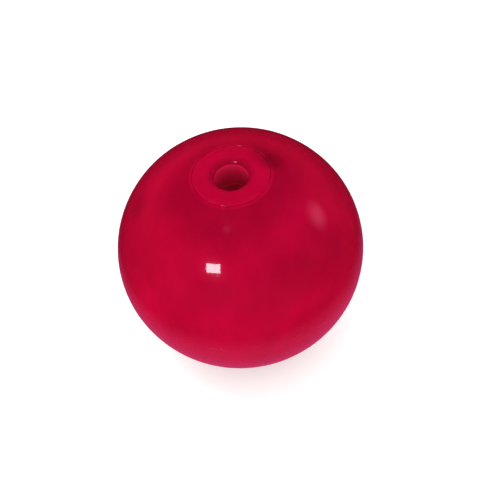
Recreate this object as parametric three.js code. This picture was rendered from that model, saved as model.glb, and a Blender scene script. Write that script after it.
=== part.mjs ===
// Croquet ball, composite pattern, bored through from pole to pole.
// Two moulded cover halves close over a composition core. A sleeve lines the bore,
// and a flanged bush finishes each end of it. Millimetres, +Z up along the bore,
// origin at the centre of the ball.

import * as THREE from "three";

// ---- Driving dimensions -------------------------------------------------------

const BALL_RADIUS = 46; // at the equator, 92 mm across
const POLE_RADIUS = 43.7; // half height of the full spheroid, before its poles are faced
const HALF_HEIGHT = 42; // centre to the faced pole
const COVER_WALL = 8.5;
const BORE_RADIUS = 6;

const GAP = 0.3; // between pieces that are bonded or pressed together
const SEGMENTS = 48; // round the axis

// Tongue and groove at the equator
const TONGUE_WIDTH = 3;
const TONGUE_HEIGHT = 3.2;
const TONGUE_LEAD = 0.4; // chamfer at the tip of the tongue

// End bush: a domed flange with a flat land, and a spigot
const FLANGE_RADIUS = 14;
const FLANGE_THICKNESS = 3;
const FLANGE_DROP = 0.7; // how far the flange falls away at its rim
const LAND_RADIUS = 11.5; // outer edge of the flat land
const MOUTH_RADIUS = 2.5; // rounding at the mouth of the bore
const SPIGOT_RADIUS = 7.2;
const SPIGOT_LENGTH = 8.7;

// Sleeve
const SLEEVE_RADIUS = 9;

// Edge of the cover round each flange
const POLE_EDGE_ROUND = 0.4;

// ---- Worked-out sizes ---------------------------------------------------------

const WALL_MID_RADIUS = BALL_RADIUS - COVER_WALL / 2;
const COVER_INNER = { a: BALL_RADIUS - COVER_WALL, b: POLE_RADIUS - COVER_WALL };
const CORE = { a: COVER_INNER.a - GAP, b: COVER_INNER.b - GAP };
const SEAT_RADIUS = FLANGE_RADIUS + GAP; // counterbore that takes the flange
const SEAT_HEIGHT = HALF_HEIGHT - FLANGE_THICKNESS - GAP; // its floor
const SLEEVE_HOLE_RADIUS = SLEEVE_RADIUS + GAP;
const SOCKET_RADIUS = SPIGOT_RADIUS + GAP; // in each end of the sleeve
const SPIGOT_END = HALF_HEIGHT - FLANGE_THICKNESS - SPIGOT_LENGTH;

// ---- Materials ----------------------------------------------------------------

function plastic(color, roughness) {
  return new THREE.MeshStandardMaterial({ color, roughness, metalness: 0 });
}

const coverRed = plastic("#b9052f", 0.12);
const bushRed = plastic("#c00a36", 0.16);
const sleeveRed = plastic("#7a0b24", 0.4);
const composition = plastic("#8c6a48", 0.9);

// ---- Outlines -----------------------------------------------------------------
// An outline is a list of (radius, height) points that closes on itself. It runs
// up the outside and down the inside, so that the turned faces point outwards.

function point(radius, height) {
  return new THREE.Vector2(radius, height);
}

// Part of an ellipse about (cr, cz), from one angle to another, in degrees.
function arc(cr, cz, a, b, from, to, steps) {
  return Array.from({ length: steps + 1 }, (_, i) => {
    const t = THREE.MathUtils.degToRad(from + ((to - from) * i) / steps);
    return point(cr + a * Math.cos(t), cz + b * Math.sin(t));
  });
}

// Angle on a spheroid { a, b } at a given radius, and at a given height, in degrees.
const angleAtRadius = (s, radius) => THREE.MathUtils.radToDeg(Math.acos(radius / s.a));
const angleAtHeight = (s, height) => THREE.MathUtils.radToDeg(Math.asin(height / s.b));

const mirrored = (outline) => outline.map((p) => point(p.x, -p.y)).reverse();

// A cover half above the equator. Its joint is the list of points along the
// equator face, from the inside of the wall to the outside.
function coverOutline(joint) {
  const outer = { a: BALL_RADIUS, b: POLE_RADIUS };
  const foot = GAP / 2;
  const round = POLE_EDGE_ROUND;
  const shoulder = SEAT_RADIUS + round;
  const poleAngle = angleAtRadius(outer, shoulder);
  const poleHeight = POLE_RADIUS * Math.sin(THREE.MathUtils.degToRad(poleAngle));
  const holeAngle = angleAtRadius(COVER_INNER, SLEEVE_HOLE_RADIUS);
  return [
    ...arc(0, 0, outer.a, outer.b, angleAtHeight(outer, foot), poleAngle, 14),
    ...arc(shoulder, poleHeight - round, round, round, 90, 180, 2).slice(1),
    point(SEAT_RADIUS, SEAT_HEIGHT),
    point(SLEEVE_HOLE_RADIUS, SEAT_HEIGHT),
    ...arc(0, 0, COVER_INNER.a, COVER_INNER.b, holeAngle, angleAtHeight(COVER_INNER, foot), 10),
    ...joint,
  ];
}

function groove() {
  const half = TONGUE_WIDTH / 2 + GAP;
  const floor = GAP / 2 + TONGUE_HEIGHT + GAP;
  return [
    point(WALL_MID_RADIUS - half, GAP / 2),
    point(WALL_MID_RADIUS - half, floor),
    point(WALL_MID_RADIUS + half, floor),
    point(WALL_MID_RADIUS + half, GAP / 2),
  ];
}

// Drawn below the equator face of a half that lies above it.
function tongue() {
  const half = TONGUE_WIDTH / 2;
  const tip = GAP / 2 - TONGUE_HEIGHT;
  return [
    point(WALL_MID_RADIUS - half, GAP / 2),
    point(WALL_MID_RADIUS - half, tip + TONGUE_LEAD),
    point(WALL_MID_RADIUS - half + TONGUE_LEAD, tip),
    point(WALL_MID_RADIUS + half - TONGUE_LEAD, tip),
    point(WALL_MID_RADIUS + half, tip + TONGUE_LEAD),
    point(WALL_MID_RADIUS + half, GAP / 2),
  ];
}

function coreOutline() {
  const end = angleAtRadius(CORE, SLEEVE_HOLE_RADIUS);
  return arc(0, 0, CORE.a, CORE.b, -end, end, 18);
}

function sleeveOutline() {
  const socketFloor = SPIGOT_END - GAP;
  return [
    point(SLEEVE_RADIUS, -SEAT_HEIGHT),
    point(SLEEVE_RADIUS, SEAT_HEIGHT),
    point(SOCKET_RADIUS, SEAT_HEIGHT),
    point(SOCKET_RADIUS, socketFloor),
    point(BORE_RADIUS, socketFloor),
    point(BORE_RADIUS, -socketFloor),
    point(SOCKET_RADIUS, -socketFloor),
    point(SOCKET_RADIUS, -SEAT_HEIGHT),
  ];
}

// The bush at the upper pole.
function bushOutline() {
  const underside = HALF_HEIGHT - FLANGE_THICKNESS;
  const mouth = BORE_RADIUS + MOUTH_RADIUS;
  return [
    point(SPIGOT_RADIUS, SPIGOT_END),
    point(SPIGOT_RADIUS, underside),
    point(FLANGE_RADIUS, underside),
    ...arc(LAND_RADIUS, HALF_HEIGHT - FLANGE_DROP, FLANGE_RADIUS - LAND_RADIUS, FLANGE_DROP, 0, 90, 4),
    ...arc(mouth, HALF_HEIGHT - MOUTH_RADIUS, MOUTH_RADIUS, MOUTH_RADIUS, 90, 180, 5),
    point(BORE_RADIUS, SPIGOT_END),
  ];
}

// ---- Pieces -------------------------------------------------------------------

function turned(name, outline, material) {
  const geometry = new THREE.LatheGeometry([...outline, outline[0].clone()], SEGMENTS);
  geometry.rotateX(Math.PI / 2); // the lathe turns about Y, and the bore runs along Z
  const mesh = new THREE.Mesh(geometry, material);
  mesh.name = name;
  return mesh;
}

const ball = new THREE.Group();
ball.name = "croquet_ball";
ball.add(
  turned("upper_cover", coverOutline(groove()), coverRed),
  turned("lower_cover", mirrored(coverOutline(tongue())), coverRed),
  turned("core", coreOutline(), composition),
  turned("bore_sleeve", sleeveOutline(), sleeveRed),
  turned("upper_bush", bushOutline(), bushRed),
  turned("lower_bush", mirrored(bushOutline()), bushRed),
);

export default ball;
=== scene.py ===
"""Looks, lights and camera for the croquet ball. Metres, +Z along the bore, origin at its centre."""

import math

import bpy
from mathutils import Matrix, Vector, noise


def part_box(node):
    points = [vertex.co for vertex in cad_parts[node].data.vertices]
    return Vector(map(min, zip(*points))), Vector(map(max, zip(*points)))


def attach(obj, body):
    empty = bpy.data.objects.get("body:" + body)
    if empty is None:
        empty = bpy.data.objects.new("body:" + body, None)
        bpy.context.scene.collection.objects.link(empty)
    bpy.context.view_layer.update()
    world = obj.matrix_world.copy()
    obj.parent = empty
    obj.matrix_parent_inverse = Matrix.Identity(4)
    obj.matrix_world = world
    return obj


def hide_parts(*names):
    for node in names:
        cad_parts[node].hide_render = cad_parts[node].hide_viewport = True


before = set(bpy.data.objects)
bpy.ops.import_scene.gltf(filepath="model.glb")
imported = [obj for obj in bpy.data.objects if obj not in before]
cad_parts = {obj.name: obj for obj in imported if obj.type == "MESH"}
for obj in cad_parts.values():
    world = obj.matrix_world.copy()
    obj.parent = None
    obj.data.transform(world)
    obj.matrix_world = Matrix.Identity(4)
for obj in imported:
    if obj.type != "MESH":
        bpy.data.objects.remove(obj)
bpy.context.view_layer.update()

MM = 0.001

# ---- Sizes ----------------------------------------------------------------------
# Read from the frame where its boxes give them, and otherwise the design's own.

BALL_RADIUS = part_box("upper_cover")[1].x
HALF_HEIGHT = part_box("upper_bush")[1].z
FLANGE_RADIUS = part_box("upper_bush")[1].x
SPIGOT_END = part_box("upper_bush")[0].z
SLEEVE_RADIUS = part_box("bore_sleeve")[1].x
SLEEVE_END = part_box("bore_sleeve")[1].z
CORE_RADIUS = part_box("core")[1].x

POLE_RADIUS = 43.7 * MM  # half height of the cover's spheroid before facing
CORE_POLE_RADIUS = CORE_RADIUS - (BALL_RADIUS - POLE_RADIUS)
BORE_RADIUS = 6 * MM
FLANGE_UNDERSIDE = HALF_HEIGHT - 3 * MM
FLANGE_DROP = 0.7 * MM
LAND_RADIUS = 11.5 * MM
MOUTH_RADIUS = 2.5 * MM
SPIGOT_RADIUS = 7.2 * MM
WALL_MID_RADIUS = BALL_RADIUS - 4.25 * MM
TONGUE_HALF_WIDTH = 1.5 * MM
TONGUE_HEIGHT = 3.2 * MM

FIT = 0.03 * MM  # what shows of a bonded or pressed joint
SEAM_ROUND = 0.06 * MM  # softened edges at the equator seam
POLE_EDGE_ROUND = 0.25 * MM
MOULDED_EDGE = 0.25 * MM  # edges inside the ball

RIPPLE_HEIGHT = 0.04 * MM  # slow unevenness of the polished cover
RIPPLE_LENGTH = 13 * MM
GRANULE = 3 * MM  # of the core's cork
GRANULE_DEPTH = 0.35 * MM
CREVICE_WIDTH = 0.3  # between granules, in granules
LUMP_DEPTH = 0.3  # of a granule's own surface, in granule depths
LUMP_LENGTH = 0.6 * GRANULE
SKIN_START = 0.93  # where the shaping of a surface starts, in radii
SKIN_FADE = 0.06  # and how far it takes to reach its full size

SEGMENTS = 256  # round the axis
CORE_SEGMENTS = 320
SHARP_ANGLE = math.radians(40)

# ---- Camera ---------------------------------------------------------------------

CAMERA_ELEVATION = 52.2  # degrees
CAMERA_ROLL = 7.4  # degrees; the bore leans to the left in the frame
LENS_MM = 100
CAMERA_DISTANCE = 0.5217
FRAME_SHIFT = (0.0192, -0.0056)


def towards(azimuth, elevation):
    """A direction from the ball, in degrees. Azimuth 0 is the camera's side, and 90 is to its right."""
    a, e = math.radians(azimuth), math.radians(elevation)
    return Vector((math.sin(a) * math.cos(e), -math.cos(a) * math.cos(e), math.sin(e)))


def aimed(azimuth, elevation, distance, turn):
    """Where a camera or lamp stands to face the ball. The turn is in degrees, about its aim."""
    way = towards(azimuth, elevation)
    aim = (-way).to_track_quat("-Z", "Y").to_matrix().to_4x4()
    roll = Matrix.Rotation(math.radians(turn), 4, "Z")
    return Matrix.Translation(way * distance) @ aim @ roll


def make_camera():
    data = bpy.data.cameras.new("camera")
    data.lens = LENS_MM
    data.shift_x, data.shift_y = FRAME_SHIFT
    data.clip_start = 0.01
    camera = bpy.data.objects.new("camera", data)
    bpy.context.collection.objects.link(camera)
    camera.matrix_world = aimed(0, CAMERA_ELEVATION, CAMERA_DISTANCE, -CAMERA_ROLL)
    bpy.context.scene.camera = camera


# ---- Outlines -------------------------------------------------------------------
# An outline is a closed list of (radius, height) points. It runs up the outside of
# a piece and down its inside.


def arc(centre, a, b, start, end, steps):
    """Part of an ellipse, from one angle to another in radians."""
    angles = [start + (end - start) * i / steps for i in range(steps + 1)]
    return [(centre[0] + a * math.cos(t), centre[1] + b * math.sin(t)) for t in angles]


def quarter(centre, a, b, start, steps):
    """The quarter of an ellipse that follows an angle, in radians."""
    return arc(centre, a, b, start, start + math.pi / 2, steps)


def corner(before, at, after, radius, steps=5):
    """The points that round off one corner of an outline."""
    at = Vector(at)
    way_in = (Vector(before) - at).normalized()
    way_out = (Vector(after) - at).normalized()
    half = way_in.angle(way_out) / 2
    reach = radius / math.tan(half)
    centre = at + (way_in + way_out).normalized() * radius / math.sin(half)
    first, last = at + way_in * reach - centre, at + way_out * reach - centre
    turn = first.angle_signed(last)
    return [tuple(centre + Matrix.Rotation(-turn * i / steps, 2) @ first) for i in range(steps + 1)]


def rounded(corners):
    """An outline through (radius, height, rounding) corners; no rounding keeps the point."""
    outline = []
    for i, (r, z, rounding) in enumerate(corners):
        before, after = corners[i - 1][:2], corners[(i + 1) % len(corners)][:2]
        outline += corner(before, (r, z), after, rounding) if rounding else [(r, z)]
    return outline


def sharp(points):
    return [(r, z, 0) for r, z in points]


def mirrored(outline):
    return [(r, -z) for r, z in reversed(outline)]


def cover_outline(joint):
    """A cover half above the equator; joint is its corners along the equator face."""
    foot = FIT / 2
    seam_angle = 2 * SEAM_ROUND / POLE_RADIUS
    edge = POLE_EDGE_ROUND
    shoulder = FLANGE_RADIUS + FIT + edge
    pole_angle = math.acos(shoulder / BALL_RADIUS)
    pole_height = POLE_RADIUS * math.sin(pole_angle)
    inner_a, inner_b = CORE_RADIUS + FIT, CORE_POLE_RADIUS + FIT
    hole = SLEEVE_RADIUS + FIT
    hole_angle = math.acos(hole / inner_a)
    seat = FLANGE_UNDERSIDE - FIT
    return rounded(
        [
            (BALL_RADIUS, foot, SEAM_ROUND),
            *sharp(arc((0, 0), BALL_RADIUS, POLE_RADIUS, seam_angle, pole_angle, steps=110)),
            *sharp(quarter((shoulder, pole_height - edge), edge, edge, math.pi / 2, steps=8)[1:]),
            (FLANGE_RADIUS + FIT, seat, MOULDED_EDGE),
            (hole, seat, MOULDED_EDGE),
            *sharp(arc((0, 0), inner_a, inner_b, hole_angle, foot / inner_b, steps=60)),
            *joint,
        ]
    )


def groove():
    half, floor = TONGUE_HALF_WIDTH + FIT, TONGUE_HEIGHT + 2 * FIT
    return [
        (WALL_MID_RADIUS - half, FIT / 2, MOULDED_EDGE),
        (WALL_MID_RADIUS - half, floor, MOULDED_EDGE),
        (WALL_MID_RADIUS + half, floor, MOULDED_EDGE),
        (WALL_MID_RADIUS + half, FIT / 2, MOULDED_EDGE),
    ]


def tongue():
    half, tip = TONGUE_HALF_WIDTH, -TONGUE_HEIGHT
    return [
        (WALL_MID_RADIUS - half, FIT / 2, MOULDED_EDGE),
        (WALL_MID_RADIUS - half, tip, 2 * MOULDED_EDGE),
        (WALL_MID_RADIUS + half, tip, 2 * MOULDED_EDGE),
        (WALL_MID_RADIUS + half, FIT / 2, MOULDED_EDGE),
    ]


def bush_outline():
    rim = LAND_RADIUS, HALF_HEIGHT - FLANGE_DROP
    mouth = BORE_RADIUS + MOUTH_RADIUS, HALF_HEIGHT - MOUTH_RADIUS
    return rounded(
        [
            (SPIGOT_RADIUS, SPIGOT_END, MOULDED_EDGE),
            (SPIGOT_RADIUS, FLANGE_UNDERSIDE, 0),
            (FLANGE_RADIUS, FLANGE_UNDERSIDE, MOULDED_EDGE),
            *sharp(quarter(rim, FLANGE_RADIUS - LAND_RADIUS, FLANGE_DROP, 0, steps=16)),
            *sharp(quarter(mouth, MOUTH_RADIUS, MOUTH_RADIUS, math.pi / 2, steps=16)),
            (BORE_RADIUS, SPIGOT_END, MOULDED_EDGE),
        ]
    )


def sleeve_outline():
    socket, floor = SPIGOT_RADIUS + FIT, SPIGOT_END - FIT
    return rounded(
        [
            (SLEEVE_RADIUS, -SLEEVE_END, MOULDED_EDGE),
            (SLEEVE_RADIUS, SLEEVE_END, MOULDED_EDGE),
            (socket, SLEEVE_END, MOULDED_EDGE),
            (socket, floor, 0),
            (BORE_RADIUS, floor, MOULDED_EDGE),
            (BORE_RADIUS, -floor, MOULDED_EDGE),
            (socket, -floor, 0),
            (socket, -SLEEVE_END, MOULDED_EDGE),
        ]
    )


def core_outline():
    inside = SLEEVE_RADIUS + FIT
    end = math.acos(inside / CORE_RADIUS)
    top = CORE_POLE_RADIUS * math.sin(end)
    steps = 24
    hole = [(inside, top - 2 * top * i / steps) for i in range(1, steps)]
    return arc((0, 0), CORE_RADIUS, CORE_POLE_RADIUS, -end, end, steps=180) + hole


# ---- Meshes ---------------------------------------------------------------------


def skin_share(point, a, b):
    """0 inside a spheroid of radius a and half height b, and 1 on its surface."""
    size = math.sqrt((point.x / a) ** 2 + (point.y / a) ** 2 + (point.z / b) ** 2)
    return min(1, max(0, (size - SKIN_START) / SKIN_FADE))


def polished(point):
    """The cover's outside is slightly uneven, as a polished casting is."""
    share = skin_share(point, BALL_RADIUS, POLE_RADIUS)
    return point + point.normalized() * RIPPLE_HEIGHT * share * noise.noise(point / RIPPLE_LENGTH)


def granular(point):
    """The core's outside sinks in between its granules."""
    near, next_near = noise.voronoi(point / GRANULE)[0][:2]
    crevice = max(0, 1 - (next_near - near) / CREVICE_WIDTH)
    lump = 1 + noise.noise(point / LUMP_LENGTH)
    sink = GRANULE_DEPTH * (crevice + LUMP_DEPTH * lump)
    share = skin_share(point, CORE_RADIUS, CORE_POLE_RADIUS)
    return point - point.normalized() * sink * share


def turned(name, outline, node, material, move=None, segments=SEGMENTS):
    """Turns an outline about Z into a closed mesh, and puts it in place of its CAD node."""
    rings = len(outline)
    angles = [2 * math.pi * k / segments for k in range(segments)]
    points = [Vector((r * math.cos(t), r * math.sin(t), z)) for t in angles for r, z in outline]
    if move:
        points = [move(p) for p in points]
    faces = []
    for k in range(segments):
        here, there = k * rings, (k + 1) % segments * rings
        faces += [
            (here + i, there + i, there + (i + 1) % rings, here + (i + 1) % rings) for i in range(rings)
        ]
    mesh = bpy.data.meshes.new(name)
    mesh.from_pydata(points, [], faces)
    mesh.shade_smooth()
    mesh.set_sharp_from_angle(angle=SHARP_ANGLE)
    mesh.materials.append(material)
    piece = bpy.data.objects.new(name, mesh)
    bpy.context.collection.objects.link(piece)
    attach(piece, "root")
    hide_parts(node)
    return piece


# ---- Materials ------------------------------------------------------------------


class Nodes:
    """A node tree, and short ways to add nodes to it.

    Each method gives a socket to pass on. Values are between 0 and 1 unless a method says otherwise.
    """

    def __init__(self, tree, coordinates):
        self.tree = tree
        self.place = self.add("ShaderNodeTexCoord").outputs[coordinates]

    def add(self, kind, links=(), **values):
        """A new node. Links name its input and the socket to join; values set its options or inputs."""
        node = self.tree.nodes.new(kind)
        for key, value in values.items():
            if hasattr(node, key):
                setattr(node, key, value)
            else:
                node.inputs[key.replace("_", " ")].default_value = value
        for socket, source in dict(links).items():
            self.tree.links.new(source, node.inputs[socket])
        return node

    def give(self, value, socket):
        """Links a socket's output to an input, or sets the input to plain numbers."""
        if isinstance(value, bpy.types.NodeSocket):
            self.tree.links.new(value, socket)
        else:
            socket.default_value = value

    def vector_math(self, operation, first, second):
        node = self.add("ShaderNodeVectorMath", operation=operation)
        for socket, value in zip(node.inputs, (first, second)):
            self.give(value, socket)
        return node.outputs["Value" if operation == "DISTANCE" else "Vector"]

    def scaled(self, factors):
        """The place, stretched along each axis."""
        return self.vector_math("MULTIPLY", self.place, factors)

    def noise(self, wavelength, detail=2.0, seed=0.0, place=None):
        """Noise whose features are about one wavelength across."""
        node = self.add(
            "ShaderNodeTexNoise",
            {"Vector": place or self.place},
            noise_dimensions="4D",
            W=seed,
            Scale=1 / wavelength,
            Detail=detail,
        )
        return node.outputs["Fac"]

    def cells(self, size, feature="F1"):
        """Granules about size across: a value for each one, or the distance to its edge."""
        node = self.add(
            "ShaderNodeTexVoronoi", {"Vector": self.place}, feature=feature, Scale=1 / size
        )
        if feature == "DISTANCE_TO_EDGE":
            return node.outputs["Distance"]
        return self.add("ShaderNodeSeparateColor", {0: node.outputs["Color"]}).outputs[0]

    def spread(self, source, low, high, start=0.3, end=0.7, smooth=False):
        """Maps a value between start and end to one between low and high."""
        node = self.add(
            "ShaderNodeMapRange",
            {"Value": source},
            interpolation_type="SMOOTHSTEP" if smooth else "LINEAR",
            From_Min=start,
            From_Max=end,
            To_Min=low,
            To_Max=high,
        )
        return node.outputs["Result"]

    def math(self, operation, first, second=0.0):
        node = self.add("ShaderNodeMath", operation=operation)
        for socket, value in zip(node.inputs, (first, second)):
            self.give(value, socket)
        return node.outputs[0]

    def distance(self, point):
        """How far the place is from a point, in metres."""
        return self.vector_math("DISTANCE", self.place, point)

    def axis_distance(self):
        """How far the place is from the bore's axis, in metres."""
        return self.vector_math("DISTANCE", self.scaled((1, 1, 0)), (0, 0, 0))

    def height(self):
        """How far the place is above the equator, in metres."""
        return self.add("ShaderNodeSeparateXYZ", {0: self.place}).outputs["Z"]

    def blend(self, share, first, second):
        """From one colour to another. A colour is three numbers or a socket."""
        node = self.add("ShaderNodeMix", data_type="RGBA")
        self.tree.links.new(share, node.inputs[0])
        for socket, color in zip((node.inputs[6], node.inputs[7]), (first, second)):
            self.give((*color, 1) if isinstance(color, tuple) else color, socket)
        return node.outputs[2]

    def darken(self, color, shade):
        """A colour times a plain value. The colour is three numbers or a socket."""
        node = self.add("ShaderNodeVectorMath", operation="SCALE")
        self.give(color, node.inputs[0])
        self.give(shade, node.inputs["Scale"])
        return node.outputs[0]

    def bump(self, height, depth, under=None):
        """Raises the surface by up to depth where height is 1; under is the bump below it."""
        node = self.add("ShaderNodeBump", {"Height": height}, Distance=depth)
        if under:
            self.tree.links.new(under, node.inputs["Normal"])
        return node.outputs["Normal"]

    def scratches(self, stretch, seed, rarity):
        """Fine straight marks, 1 on a mark; stretch is short across a mark and long along it."""
        place = self.scaled(tuple(1 / length for length in stretch))
        return self.spread(self.noise(1, 1, seed, place), 0, 1, rarity, rarity + 0.03)


class Shader(Nodes):
    """A material with its Principled shader."""

    def __init__(self, name, **sockets):
        self.material = bpy.data.materials.new(name)
        self.material.use_nodes = True
        super().__init__(self.material.node_tree, "Object")
        self.surface = self.tree.nodes["Principled BSDF"]
        for socket, value in sockets.items():
            self.surface.inputs[socket.replace("_", " ")].default_value = value

    def feed(self, socket, source):
        self.tree.links.new(source, self.surface.inputs[socket])

    def marks(self, shade):
        """A shade times the painted light and shade spots on the ball's outside."""
        for centre, full, edge, tone in PAINTED_LIGHT_AND_SHADE_SPOTS:
            gap = self.distance(Vector(centre) * MM)
            mark = self.spread(gap, tone, 1, full * MM, edge * MM, smooth=True)
            shade = self.math("MULTIPLY", shade, mark)
        return shade


DEEP_CRIMSON = (0.315, 0.0004, 0.017)
CRIMSON = (0.38, 0.0005, 0.025)
WORN_CRIMSON = (0.41, 0.004, 0.036)
# Painted light: the bore wall is given a lighter crimson than the face.
PAINTED_LIGHT_BORE_CRIMSON = (0.68, 0.012, 0.07)
TUBE_REDS = (0.5, 0.01, 0.04), (0.65, 0.015, 0.06)
CORK_TONES = (0.24, 0.12, 0.05), (0.55, 0.34, 0.17)
BINDER = (0.05, 0.03, 0.02)
PAPER_TONES = (0.94, 0.94, 0.94), (0.97, 0.97, 0.97)

TURNING_PITCH = 0.45 * MM
DIE_LINE = (0.5 * MM, 40 * MM)  # across and along the sleeve

PAINTED_REFLECTION_CENTRE = Vector((0, -6, 41)) * MM  # of the painted dark reflection round the upper flange
PAINTED_LIGHT_AND_SHADE_SPOTS = (
    # Painted shade (tone below 1) and painted light (tone above 1): centre in mm, reach of the full
    # tone and of the faded edge in mm, and tone.
    ((29, -24, 25), 3, 18, 0.79),
    ((14, -35, 25), 2, 16, 0.8),
    ((-1, -40, 22), 2, 14, 0.84),
    ((-15, -36, 24), 2, 14, 0.86),
    ((-25, -22, 30), 1, 9, 1.07),
    ((-36, -28, 8), 3, 14, 1.15),
    ((-35, 2, 29), 1, 8, 0.82),
    ((11.6, 8.2, 41.4), 1.5, 6, 0.76),
    ((15.6, 4.8, 41), 1.5, 6, 0.73),
    ((13.4, 3.2, 41.5), 1, 4.5, 0.85),
)


def gloss_red():
    """The polished crimson of the moulded cover."""
    shader = Shader(
        "gloss_red", IOR=1.5, Specular_IOR_Level=0.5, Coat_Weight=0.8, Coat_Roughness=0.03
    )
    clouds = shader.spread(shader.noise(40 * MM, detail=2, seed=0), 0, 1, 0.32, 0.68)
    color = shader.blend(clouds, DEEP_CRIMSON, CRIMSON)
    specks = shader.spread(shader.cells(0.4 * MM), 0.96, 1.03, 0, 1)
    flow = shader.spread(shader.noise(7 * MM, detail=3, seed=2), 0.93, 1.07)
    color = shader.darken(color, shader.math("MULTIPLY", specks, flow))

    # Handling has worn the edges of the seam and of the seat round each flange.
    from_seam = shader.math("ABSOLUTE", shader.height())
    seam = shader.spread(from_seam, 1, 0, 0.1 * MM, 0.7 * MM, smooth=True)
    seat = shader.spread(
        shader.axis_distance(), 1, 0, FLANGE_RADIUS + 0.2 * MM, FLANGE_RADIUS + 0.9 * MM, smooth=True
    )
    patchy = shader.spread(shader.noise(4 * MM, detail=3, seed=5), 0, 0.6, 0.4, 0.65)
    wear = shader.math("MULTIPLY", shader.math("MAXIMUM", seam, seat), patchy)
    color = shader.blend(wear, color, WORN_CRIMSON)

    # Painted dark reflection: the colour is darker round the upper flange, starting a little way out
    # from it.
    wander = shader.spread(shader.noise(16 * MM, detail=2, seed=1), -3 * MM, 3 * MM)
    reach = shader.math("ADD", shader.distance(PAINTED_REFLECTION_CENTRE), wander)
    outside = shader.spread(reach, 0.79, 1.0, 18 * MM, 29 * MM, smooth=True)
    inside = shader.spread(shader.axis_distance(), 1.0, 0.0, FLANGE_RADIUS, 19 * MM, smooth=True)
    shade = shader.math("MAXIMUM", outside, inside)
    # Painted light and shade spots darken and lighten the cover's colour here.
    shader.feed("Base Color", shader.darken(color, shader.marks(shade)))

    scratches = shader.math(
        "MAXIMUM",
        shader.scratches((0.35 * MM, 16 * MM, 0.35 * MM), seed=3, rarity=0.72),
        shader.scratches((14 * MM, 0.3 * MM, 0.4 * MM), seed=4, rarity=0.72),
    )
    polish = shader.spread(shader.noise(9 * MM, detail=4, seed=6), 0.05, 0.09)
    rough = shader.math("ADD", polish, shader.math("MULTIPLY", scratches, 0.08))
    shader.feed("Roughness", rough)
    peel = shader.bump(shader.noise(2.4 * MM, detail=1, seed=7), 0.006 * MM)
    shader.feed("Normal", shader.bump(scratches, -0.002 * MM, under=peel))
    return shader.material


def turned_red():
    """The bushes: turned on a lathe, with painted shade at the mouth and painted light on the bore
    wall.
    """
    shader = Shader(
        "turned_red", IOR=1.5, Specular_IOR_Level=0.5, Coat_Weight=0.2, Coat_Roughness=0.05
    )
    radius = shader.axis_distance()
    # Painted shade: the face is darker towards the mouth of the bore.
    painted_mouth_shade = shader.spread(radius, 0.72, 1, BORE_RADIUS + 0.5 * MM, BORE_RADIUS + 3.2 * MM, smooth=True)
    clouds = shader.spread(shader.noise(9 * MM, detail=3, seed=11), 0.95, 1.05)
    # The painted light and shade spots also darken and lighten the bush's face.
    face = shader.darken(CRIMSON, shader.marks(shader.math("MULTIPLY", clouds, painted_mouth_shade)))
    # Painted light: the bore wall takes the lighter crimson.
    inside = shader.spread(radius, 1, 0, BORE_RADIUS, BORE_RADIUS + 0.3 * MM, smooth=True)
    shader.feed("Base Color", shader.blend(inside, face, PAINTED_LIGHT_BORE_CRIMSON))

    wander = shader.spread(shader.noise(5 * MM, detail=2, seed=12), 0, 0.35 * MM)
    turn = shader.math("MULTIPLY", shader.math("ADD", radius, wander), 2 * math.pi / TURNING_PITCH)
    rings = shader.spread(shader.math("SINE", turn), 0, 1, -1, 1)
    shader.feed("Roughness", shader.spread(shader.noise(3 * MM, detail=3, seed=13), 0.05, 0.09))
    shader.feed("Normal", shader.bump(rings, 0.002 * MM))
    return shader.material


def drawn_red():
    """The sleeve: drawn tube, with die lines along the bore."""
    shader = Shader("drawn_red", IOR=1.5, Specular_IOR_Level=0.4)
    across, along = DIE_LINE
    place = shader.scaled((1 / across, 1 / across, 1 / along))
    lines = shader.noise(1, detail=3, seed=21, place=place)
    tone = shader.spread(lines, 0, 1)
    shader.feed("Base Color", shader.blend(tone, *TUBE_REDS))
    shader.feed("Roughness", shader.spread(shader.noise(4 * MM, detail=3, seed=22), 0.3, 0.45))
    shader.feed("Normal", shader.bump(lines, 0.01 * MM))
    return shader.material


def cork_composition():
    """The core: cork granules of mixed tone, bonded with dark rubber."""
    shader = Shader("cork_composition", Specular_IOR_Level=0.25)
    tone = shader.cells(GRANULE)
    cork = shader.blend(tone, *CORK_TONES)
    pores = shader.spread(shader.noise(0.5 * MM, detail=3, seed=31), 0.75, 1.1)
    edge = shader.cells(GRANULE, "DISTANCE_TO_EDGE")
    binder = shader.spread(edge, 1, 0, 0.02, 0.1, smooth=True)
    shader.feed("Base Color", shader.blend(binder, shader.darken(cork, pores), BINDER))
    shader.feed("Roughness", shader.spread(binder, 0.9, 0.6, 0, 1))
    grain = shader.bump(pores, 0.08 * MM)
    shader.feed("Normal", shader.bump(shader.spread(edge, 0, 1, 0, 0.15), 0.15 * MM, under=grain))
    return shader.material


# ---- Set ------------------------------------------------------------------------

PAPER_LIGHT = 1.25  # the studio's even light
ROOM = (
    # What the gloss shows in place of the studio: height from -1, straight down, to 1,
    # straight up, and colour.
    (-0.88, (0.55, 0.055, 0.17)),
    (-0.62, (0.12, 0.005, 0.012)),
    (-0.2, (0.12, 0.005, 0.012)),
    (0.1, (0.4, 0.012, 0.03)),
    (0.5, (0.12, 0.005, 0.012)),
    (0.84, (0, 0, 0)),
)
GLOWS = (
    # Soft lights in the room: azimuth and elevation, how far out each one fades, and colour.
    (100, 18.3, 0.24, (1.2, 0.28, 0.55)),
    (-33, 34.5, 0.3, (0.4, 0.06, 0.18)),
    (-33.6, 73.1, 0.1, (0.4, 0.12, 0.2)),
)


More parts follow.
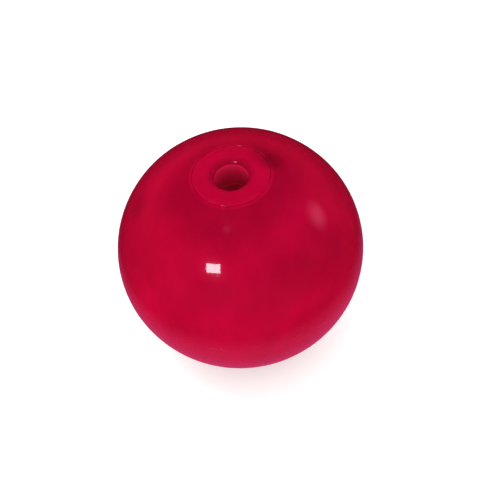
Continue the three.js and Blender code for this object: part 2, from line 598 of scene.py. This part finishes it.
def make_floor():
    side, z = 6.0, -HALF_HEIGHT
    corners = [(-side, -side, z), (side, -side, z), (side, side, z), (-side, side, z)]
    mesh = bpy.data.meshes.new("floor")
    mesh.from_pydata(corners, [], [(0, 1, 2, 3)])
    shader = Shader("floor_paper", Roughness=0.8, Specular_IOR_Level=0.0, Emission_Strength=0.25)
    fibre = shader.noise(300 * MM)
    shader.feed("Base Color", shader.blend(fibre, *PAPER_TONES))
    shader.surface.inputs["Emission Color"].default_value = (1, 1, 1, 1)
    mesh.materials.append(shader.material)
    floor = bpy.data.objects.new("floor", mesh)
    bpy.context.collection.objects.link(floor)
    floor.visible_glossy = False


def make_world():
    """Even white light all round, and a dim crimson room that only the gloss shows."""
    world = bpy.data.worlds.new("studio")
    world.use_nodes = True
    world.cycles.sampling_method = "NONE"
    bpy.context.scene.world = world
    nodes = Nodes(world.node_tree, "Generated")

    ramp = nodes.add("ShaderNodeValToRGB", {"Fac": nodes.spread(nodes.height(), 0, 1, -1, 1)})
    stops = ramp.color_ramp.elements
    while len(stops) < len(ROOM):
        stops.new(0.5)
    for stop, (height, color) in zip(stops, ROOM):
        stop.position = (height + 1) / 2
        stop.color = (*color, 1)
    room = ramp.outputs["Color"]
    for azimuth, elevation, reach, color in GLOWS:
        fade = nodes.spread(nodes.distance(towards(azimuth, elevation)), 1, 0, 0, reach, smooth=True)
        room = nodes.vector_math("ADD", room, nodes.darken(color, fade))

    paper_light = nodes.tree.nodes["Background"]
    paper_light.inputs["Color"].default_value = (1, 1, 1, 1)
    paper_light.inputs["Strength"].default_value = PAPER_LIGHT
    room_light = nodes.add("ShaderNodeBackground", {"Color": room})
    is_gloss = nodes.add("ShaderNodeLightPath").outputs["Is Glossy Ray"]
    choice = nodes.add(
        "ShaderNodeMixShader", {0: is_gloss, 1: paper_light.outputs[0], 2: room_light.outputs[0]}
    )
    nodes.tree.links.new(choice.outputs[0], nodes.tree.nodes["World Output"].inputs["Surface"])


def lamp(name, azimuth, elevation, distance, size, brightness, turn=0, in_gloss=False):
    """An area light aimed at the ball, which either shows in the gloss or lights the surfaces.

    White paper has a brightness of about 1. The turn is in degrees, about the way it aims.
    """
    data = bpy.data.lights.new(name, "AREA")
    data.shape = "RECTANGLE"
    data.size, data.size_y = size
    data.energy = brightness * math.pi * size[0] * size[1]
    light = bpy.data.objects.new(name, data)
    bpy.context.collection.objects.link(light)
    light.matrix_world = aimed(azimuth, elevation, distance, turn)
    light.visible_camera = False
    light.visible_glossy = in_gloss
    light.visible_diffuse = not in_gloss
    return light


def make_lights():
    window = lamp("window", -32.1, 36.1, 0.9, size=(0.19, 0.12), brightness=11, turn=14, in_gloss=True)
    window.data.color = (1, 0.85, 0.92)
    lamp("front_fill", -12, 3, 1.6, size=(1.2, 1.2), brightness=2.6)
    lamp("left_key", -115, 58, 1.6, size=(0.6, 0.6), brightness=3)


# ---- Build ----------------------------------------------------------------------

make_camera()

cover_red, bush_red, sleeve_red, cork = gloss_red(), turned_red(), drawn_red(), cork_composition()

turned("upper_cover_skin", cover_outline(groove()), "upper_cover", cover_red, polished)
turned("lower_cover_skin", mirrored(cover_outline(tongue())), "lower_cover", cover_red, polished)
turned("upper_bush_skin", bush_outline(), "upper_bush", bush_red)
turned("lower_bush_skin", mirrored(bush_outline()), "lower_bush", bush_red)
turned("bore_sleeve_skin", sleeve_outline(), "bore_sleeve", sleeve_red)
turned("core_skin", core_outline(), "core", cork, granular, CORE_SEGMENTS)

make_floor()
make_world()
make_lights()
bpy.context.scene.view_settings.view_transform = "Standard"
